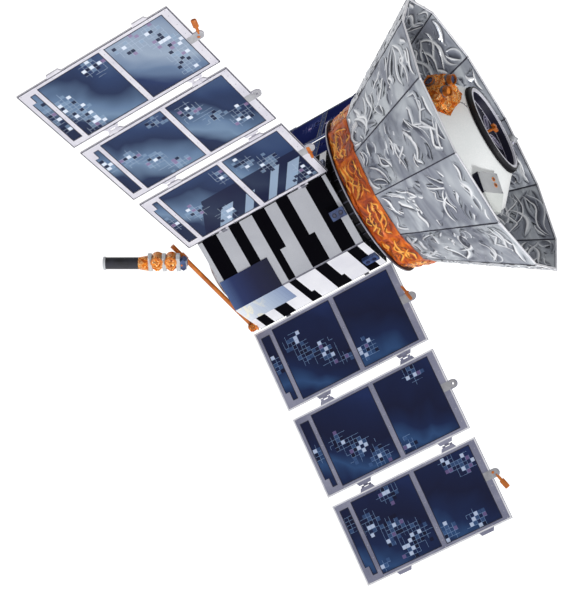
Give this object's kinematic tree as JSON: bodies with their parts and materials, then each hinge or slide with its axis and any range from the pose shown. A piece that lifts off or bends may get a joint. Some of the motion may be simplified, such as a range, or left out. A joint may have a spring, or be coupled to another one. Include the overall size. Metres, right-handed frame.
{
  "type": "sky survey satellite",
  "caption": "Sky survey satellite with a striped bus, folding solar wings, an open foil sun shield round a helium tank and a hinged aft antenna mast.",
  "frame": {"origin": "centre of the launch ring's aft face", "axes": "+Z forward along the spin axis, towards the telescope's mouth; wing c lies near -X, wings a and b on the +X side at 120 degrees to it"},
  "size_m": [6.7439, 7.4517, 4.9171],
  "materials": {
    "bare_metal": "satin",
    "hinge_metal": "satin",
    "deck_paint": "satin",
    "black_paint": "matt",
    "striped_panel": "satin, black and white stripes",
    "mirror": "polished second-surface mirror",
    "sensor_paint": "satin",
    "gold_foil": "crumpled metallised film",
    "silver_foil": "crumpled metallised film",
    "white_paint": "satin",
    "grey_paint": "satin",
    "black_rubber": "matt",
    "orange_paint": "satin",
    "antenna_plastic": "satin",
    "solar_cells": "glossy cover glass over cells",
    "panel_frame": "satin"
  },
  "bodies": {
    "bus": {"aft_deck": "deck_paint", "blanket_band": "gold_foil", "forward_deck": "black_paint", "helium_tank": "white_paint", "horizon_sensors": "sensor_paint", "instrument_deck": "deck_paint", "interface_drum": "black_paint", "launch_ring": "bare_metal", "mast_bracket": "gold_foil", "mirror_radiator": "mirror", "mouth_flange": "grey_paint", "mouth_plate": "black_paint", "mouth_seal": "black_rubber", "mouth_tee": "orange_paint", "radiometer_fairings": "white_paint", "radiometer_gold": "gold_foil", "radiometer_grey": "grey_paint", "radiometer_horns": "bare_metal", "radiometer_rear": "grey_paint", "root_brackets": "hinge_metal", "shield_rim": "bare_metal", "side_panels_narrow": "striped_panel", "side_panels_wide": "striped_panel", "sun_sensors": "sensor_paint", "sun_shield": "silver_foil"},
    "wing_a_panel_1": {"wing_a_cells_1": "solar_cells", "wing_a_frame_1": "panel_frame", "wing_a_pin_1": "orange_paint"},
    "wing_a_panel_2": {"wing_a_cells_2": "solar_cells", "wing_a_frame_2": "panel_frame"},
    "wing_a_panel_3": {"wing_a_cells_3": "solar_cells", "wing_a_frame_3": "panel_frame", "wing_a_pin_3": "orange_paint"},
    "wing_b_panel_1": {"wing_b_cells_1": "solar_cells", "wing_b_frame_1": "panel_frame", "wing_b_pin_1": "orange_paint"},
    "wing_b_panel_2": {"wing_b_cells_2": "solar_cells", "wing_b_frame_2": "panel_frame"},
    "wing_b_panel_3": {"wing_b_cells_3": "solar_cells", "wing_b_frame_3": "panel_frame", "wing_b_pin_3": "orange_paint"},
    "wing_c_panel_1": {"wing_c_cells_1": "solar_cells", "wing_c_frame_1": "panel_frame", "wing_c_pin_1": "orange_paint"},
    "wing_c_panel_2": {"wing_c_cells_2": "solar_cells", "wing_c_frame_2": "panel_frame"},
    "wing_c_panel_3": {"wing_c_cells_3": "solar_cells", "wing_c_frame_3": "panel_frame", "wing_c_pin_3": "orange_paint"},
    "mast": {"mast_rod": "orange_paint"},
    "antenna_head": {"antenna_block": "sensor_paint", "antenna_clamps": "white_paint", "antenna_cup": "gold_foil", "antenna_drums": "gold_foil", "antenna_tube": "antenna_plastic"}
  },
  "joints": [
    {"name": "wing_a_root", "type": "hinge", "parent": "bus", "child": "wing_a_panel_1", "pos_m": [0.44262, -0.72166, 1.0135], "axis": [0, 0, 1], "range_deg": [0, 135.8]},
    {"name": "wing_a_fold_12", "type": "hinge", "parent": "wing_a_panel_1", "child": "wing_a_panel_2", "pos_m": [0.86774, -1.75819, 1.0135], "axis": [0, 0, 1], "range_deg": [-180, 0]},
    {"name": "wing_a_fold_23", "type": "hinge", "parent": "wing_a_panel_2", "child": "wing_a_panel_3", "pos_m": [1.39108, -2.81975, 1.0135], "axis": [0, 0, 1], "range_deg": [0, 180]},
    {"name": "wing_b_root", "type": "hinge", "parent": "bus", "child": "wing_b_panel_1", "pos_m": [0.40366, 0.74414, 1.0135], "axis": [0, 0, 1], "range_deg": [0, 135.8]},
    {"name": "wing_b_fold_12", "type": "hinge", "parent": "wing_b_panel_1", "child": "wing_b_panel_2", "pos_m": [1.08877, 1.63058, 1.0135], "axis": [0, 0, 1], "range_deg": [-180, 0]},
    {"name": "wing_b_fold_23", "type": "hinge", "parent": "wing_b_panel_2", "child": "wing_b_panel_3", "pos_m": [1.74643, 2.61458, 1.0135], "axis": [0, 0, 1], "range_deg": [0, 180]},
    {"name": "wing_c_root", "type": "hinge", "parent": "bus", "child": "wing_c_panel_1", "pos_m": [-0.84628, -0.02249, 1.0135], "axis": [0, 0, 1], "range_deg": [0, 135.8]},
    {"name": "wing_c_fold_12", "type": "hinge", "parent": "wing_c_panel_1", "child": "wing_c_panel_2", "pos_m": [-1.95651, 0.12761, 1.0135], "axis": [0, 0, 1], "range_deg": [-180, 0]},
    {"name": "wing_c_fold_23", "type": "hinge", "parent": "wing_c_panel_2", "child": "wing_c_panel_3", "pos_m": [-3.13751, 0.20516, 1.0135], "axis": [0, 0, 1], "range_deg": [0, 180]},
    {"name": "mast_hinge", "type": "hinge", "parent": "bus", "child": "mast", "pos_m": [0.445, 0.602, 0.07], "axis": [1, 0, 0], "range_deg": [0, 80]},
    {"name": "antenna_tilt", "type": "hinge", "parent": "mast", "child": "antenna_head", "pos_m": [0.595, -0.66295, -0.11905], "axis": [1, 0, 0], "range_deg": [-50, 40]}
  ],
  "couplings": [
    {"joint": "wing_a_fold_12", "follows": "wing_a_root", "ratio": -1.3253},
    {"joint": "wing_a_fold_23", "follows": "wing_a_root", "ratio": 1.3253},
    {"joint": "wing_b_fold_12", "follows": "wing_b_root", "ratio": -1.3253},
    {"joint": "wing_b_fold_23", "follows": "wing_b_root", "ratio": 1.3253},
    {"joint": "wing_c_fold_12", "follows": "wing_c_root", "ratio": -1.3253},
    {"joint": "wing_c_fold_23", "follows": "wing_c_root", "ratio": 1.3253}
  ]
}
